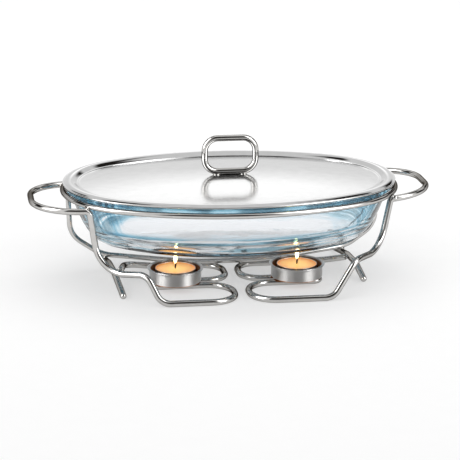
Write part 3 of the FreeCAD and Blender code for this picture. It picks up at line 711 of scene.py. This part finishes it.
def polished_sheet(name, roughness):
    """Polished stainless steel with the faint waviness of the pressing and fine wiping marks."""
    material = bpy.data.materials.new(name)
    shade = Shade(material)
    wave = shade.grain(9, 1.0)
    haze = shade.grain(120, 5.0)
    tone = shade.ramp(haze, (0.3, (0.54, 0.54, 0.54)), (0.7, (0.58, 0.58, 0.58)))
    bumps = shade.add("ShaderNodeBump", None, {"Strength": 0.04, "Distance": 2 * MM, "Height": wave})
    shade.surface(Base_Color=tone, Metallic=1.0, Roughness=roughness + 0.05 * haze, Normal=bumps)
    return material


def dome(drop, share):
    """The dome at each share s of the sunk oval, lowered by drop: it stands over the oval's edge by the
    rise times 1 - s^2."""
    edge = oval(LID_FLANGE)[0]
    height = LID_UNDERSIDE + LID_SHEET - LID_RECESS - drop + LID_RISE * (1 - share ** 2)
    flat = edge[None] * share[:, None, None]
    return np.concatenate([flat, np.broadcast_to(height[:, None, None], flat.shape[:2] + (1,))], axis=-1)


def flange():
    """The flange's upper side as (inset, height): out of the sunk oval it climbs in half a cosine wave to
    its crest, and falls from there in most of a quarter ellipse to the rolled edge."""
    climb = np.linspace(0, 1, 16)[:, None]
    fall = np.linspace(0, FALL_SHARE, 14)[1:, None]
    climbing = np.hstack([FLANGE_FOOT_INSET - (FLANGE_FOOT_INSET - CREST_INSET) * climb,
                          FLANGE_FOOT + (FLANGE_CREST - FLANGE_FOOT) * (1 - np.cos(np.pi * climb)) / 2])
    falling = np.hstack([CREST_INSET - FALL_REACH * fall,
                         FLANGE_CREST - FALL_DROP * (1 - np.sqrt(1 - fall ** 2))])
    return np.concatenate([climbing, falling]) + (0, LID_UNDERSIDE)


shares = np.linspace(0, DOME_SHARE, 40)
edge_turn = np.linspace(math.radians(60), math.radians(321), 24)
bead_profile = np.column_stack([LID_BEAD + LID_BEAD * np.cos(edge_turn),
                                LID_UNDERSIDE + LID_SHEET / 2 + LID_BEAD * np.sin(edge_turn)])
under_corners = [(LID_BEAD * 2, 0), (LID_FLANGE - 1.0 * MM, 0), (LID_FLANGE - 1.0 * MM, -LID_RECESS),
                 (LID_FLANGE + 0.5 * MM, -LID_RECESS)]
under_profile = bent_path(np.array(under_corners), np.array([0.4, 0.6]) * MM, math.radians(15))[0]
under_profile = under_profile + (0, LID_UNDERSIDE)
lid_rows = np.concatenate([
    dome(0.0, shares), rim_rows(flange()), rim_rows(bead_profile), rim_rows(under_profile),
    dome(LID_SHEET, shares[::-1])])
lid_sheet = dress(skin("lid_sheet", lid_rows), polished_sheet("mirror_steel", 0.02), "lid", ["lid"])
# The dome is only buffed: its faces have the second material.
lid_sheet.data.materials.append(polished_sheet("buffed_steel", 0.14))
centres = np.empty(3 * len(lid_sheet.data.polygons))
lid_sheet.data.polygons.foreach_get("center", centres)
centres = centres.reshape(-1, 3)
sunk_x, sunk_y = oval(LID_FLANGE)[0].T
reach_at = np.interp(np.arctan2(centres[:, 1], centres[:, 0]), np.arctan2(sunk_y, sunk_x),
                     np.hypot(sunk_x, sunk_y), period=2 * np.pi)
on_dome = np.hypot(centres[:, 0], centres[:, 1]) < DOME_SHARE * reach_at
lid_sheet.data.polygons.foreach_set("material_index", on_dome.astype(np.int32))


# The lid's handle is a closed loop of the thicker chromed wire. It stands upright on the crown and is
# welded to it at both lower corners.
handle_low, handle_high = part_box("lid_handle")
HANDLE_WIRE = 3 * MM
HANDLE_BEND = 12.5 * MM
HANDLE_WELD = np.array([3.2, 3.0, 1.0]) * MM
handle_out = handle_high[0] - HANDLE_WIRE
handle_foot, handle_top = handle_low[2] + HANDLE_WIRE, handle_high[2] - HANDLE_WIRE
loop_line = np.array([(0, 0, handle_foot), (handle_out, 0, handle_foot), (handle_out, 0, handle_top),
                      (-handle_out, 0, handle_top), (-handle_out, 0, handle_foot), (0, 0, handle_foot)])
path, heading = bent_path(loop_line, [HANDLE_BEND] * 4, math.radians(5))
dress(tube("lid_loop", path[:-1], heading[:-1], HANDLE_WIRE, loop=True), chrome, "lid", ["lid_handle"])
for side_name, side in (("left", -1), ("right", 1)):
    weld = bead("weld_lid_loop_" + side_name,
                (side * (handle_out - 11.5 * MM), 0, handle_low[2] + 0.2 * MM), HANDLE_WELD)
    dress(weld, chrome, "lid")


# The warmer stands on a plain white table. What looks at the table or sees it in glass or metal meets
# a mix of the lit surface and plain white, so that it keeps the soft shadow and is all white far off.
TABLE_REACH = 6.0
TABLE_WHITENING = 0.47
WHITER_FROM = 0.6
WHITE_FROM = 2.5


def floor_white():
    """Matt white, with the plain white that onlookers see mixed in, more of it further off."""
    material = bpy.data.materials.new("white_table")
    shade = Shade(material)
    fleck = shade.grain(60, 2.0)
    tone = shade.ramp(fleck, (0.0, (0.93, 0.93, 0.93)), (1.0, (0.96, 0.96, 0.96)))
    lit = shade.add("ShaderNodeBsdfDiffuse", None, {"Color": tone, "Roughness": 0.5})
    white = shade.add("ShaderNodeEmission", None, {"Color": (1, 1, 1, 1), "Strength": 1.0})
    seen = shade.onlookers().larger(shade.ray("Glossy"))
    far = shade.rise(shade.length(shade.place()), WHITER_FROM, WHITE_FROM)
    whitening = seen * (TABLE_WHITENING + (1 - TABLE_WHITENING) * far)
    whitened = shade.add("ShaderNodeMixShader", None, {0: whitening, 1: lit, 2: white})
    shade.add("ShaderNodeOutputMaterial", None, {"Surface": whitened})
    return material


table_corners = np.array([(-1, -1, 0), (1, -1, 0), (1, 1, 0), (-1, 1, 0)]) * TABLE_REACH
mesh = bpy.data.meshes.new("table")
mesh.from_pydata(table_corners.tolist(), [], [(0, 1, 2, 3)])
table = bpy.data.objects.new("table", mesh)
bpy.context.scene.collection.objects.link(table)
mesh.materials.append(floor_white())


# Two large soft lamps stand in front at the sides, and a stronger one hangs above and behind.
# They light the warmer and the table, and metal and glass don't show them.
LAMP_AIM = np.array([0, 0, 0.05])
# Name, place, width and height, and power in watts.
LAMPS = [
    ("lamp_left", (-1.6, -0.7, 1.3), (1.0, 1.2), 4),
    ("lamp_right", (1.6, -0.7, 1.3), (1.0, 1.2), 4),
    ("lamp_above", (0.3, 0.9, 1.5), (1.8, 1.2), 18),
]


def turned_to(place, right, up, back):
    """The placing of a lamp or camera that looks along -back, with these directions right and up."""
    turn = np.array([right, up, back]).T
    return Matrix([(*row, part) for row, part in zip(turn, place)] + [(0, 0, 0, 1)])


for lamp_name, place, size, power in LAMPS:
    lamp = bpy.data.lights.new(lamp_name, "AREA")
    lamp.shape = "RECTANGLE"
    lamp.size, lamp.size_y = size
    lamp.energy = power
    holder = bpy.data.objects.new(lamp_name, lamp)
    bpy.context.scene.collection.objects.link(holder)
    holder.visible_glossy = False
    holder.visible_transmission = False
    back = unit(np.array(place) - LAMP_AIM)
    right = unit(np.cross([0, 0, 1], back))
    holder.matrix_world = turned_to(place, right, np.cross(back, right), back)


# The studio's walls are white, and brightest behind the warmer. The dark side of the room, behind the
# camera, and dark screens round the table give the metal its black lines, and two bright panels at the
# sides give it highlights. The camera sees plain white behind the warmer and through the glass.
DEGREES = 180 / math.pi
WALL_LIGHT = 0.95
SPOT_LIGHT = 0.75
PANEL_LIGHT = 5.0
SPOT_DIRECTION = (0.143, 0.902, 0.407)
ROOM_DARK = (0.02, 0.018, 0.016, 1)
EVEN_GREY = (0.72, 0.72, 0.72, 1)
PLAIN_WHITE = (1, 1, 1, 1)
# Azimuth from, to and softness, then elevation from, to and softness, in degrees. The azimuth is nothing
# in front of the warmer and grows to the right.
SCREENS = [
    ((-122, -100, 4), (2, 50, 4)),
    ((-160, -92, 4), (56, 75, 3)),
    ((-154, -114, 4), (25, 43, 3)),
    ((80, 115, 5), (2, 38, 4)),
    ((96, 150, 4), (43, 60, 3)),
    ((114, 155, 4), (15, 28, 3)),
]
world = bpy.data.worlds.new("studio")
bpy.context.scene.world = world
sky = Shade(world)
direction = sky.add("ShaderNodeTexCoord", output="Generated")
dx, dy, dz = (sky.axis(direction, name) for name in "XYZ")
azimuth = sky.add("ShaderNodeMath", {"operation": "ARCTAN2"}, {0: dx, 1: 0.0 - dy}) * DEGREES
elevation = sky.add("ShaderNodeMath", {"operation": "ARCSINE"}, {0: dz}) * DEGREES


def window(angle, low, high, soft):
    """One between two angles, in degrees, and nothing outside them, with soft edges."""
    return sky.rise(angle, low - soft, low + soft) * sky.rise(angle, high + soft, high - soft)


# The dark side of the room is a little lighter low down.
dark_side = window(elevation, -1, 74, 3) * 0.75 + window(elevation, 26, 74, 3) * 0.25
dark = window(azimuth, -32, 26, 4) * dark_side
for across, upright in SCREENS:
    dark = dark.larger(window(azimuth, *across) * window(elevation, *upright))
towards_spot = sky.add("ShaderNodeVectorMath", {"operation": "DOT_PRODUCT"},
                       {0: direction, 1: SPOT_DIRECTION}, "Value")
off_spot = sky.add("ShaderNodeMath", {"operation": "ARCCOSINE"}, {0: towards_spot}) * DEGREES
spot = sky.rise(off_spot, 13.5, 4.0)
panels = (window(azimuth, -92, -56, 5) + window(azimuth, 37, 64, 5)) * window(elevation, 3, 60, 3)
light = spot * SPOT_LIGHT + panels * PANEL_LIGHT + WALL_LIGHT
walls = sky.add("ShaderNodeCombineXYZ", None, {0: light, 1: light, 2: light})
room = sky.blend(dark, walls, ROOM_DARK)
# Metal and the face of the glass mirror the room; all other light from it is an even grey.
mirrored = sky.blend(sky.ray("Glossy"), EVEN_GREY, room)
colour = sky.blend(sky.onlookers(), mirrored, PLAIN_WHITE)
background = sky.add("ShaderNodeBackground", None, {"Color": colour, "Strength": 1.0})
sky.add("ShaderNodeOutputWorld", None, {"Surface": background})


# The camera stands a little to the left of the middle and looks down on the warmer by sixteen degrees,
# from nearly two metres away and through a long lens.
PICTURE = 460
FOCUS = 2000.0
SENSOR = 36.0
CAMERA_YAW = math.radians(9.0)
CAMERA_RAISE = math.radians(16.2)
CAMERA_ROLL = math.radians(0.53)
CAMERA_DISTANCE = 1929.4 * MM
CAMERA_AIM = np.array([0.6, 0.0, 41.0]) * MM
back = np.array([-math.sin(CAMERA_YAW) * math.cos(CAMERA_RAISE),
                 -math.cos(CAMERA_YAW) * math.cos(CAMERA_RAISE), math.sin(CAMERA_RAISE)])
right = unit(np.cross(-back, [0, 0, 1]))
up = np.cross(right, -back)
rolled = math.cos(CAMERA_ROLL) * right + math.sin(CAMERA_ROLL) * up
upright = np.cross(back, rolled)
lens = bpy.data.cameras.new("camera")
lens.sensor_width = SENSOR
lens.lens = FOCUS / PICTURE * SENSOR
lens.clip_start, lens.clip_end = 0.05, 50.0
eye = bpy.data.objects.new("camera", lens)
bpy.context.scene.collection.objects.link(eye)
eye.matrix_world = turned_to(CAMERA_AIM + back * CAMERA_DISTANCE, rolled, upright, back)
bpy.context.scene.camera = eye
bpy.context.scene.view_settings.view_transform = "Standard"
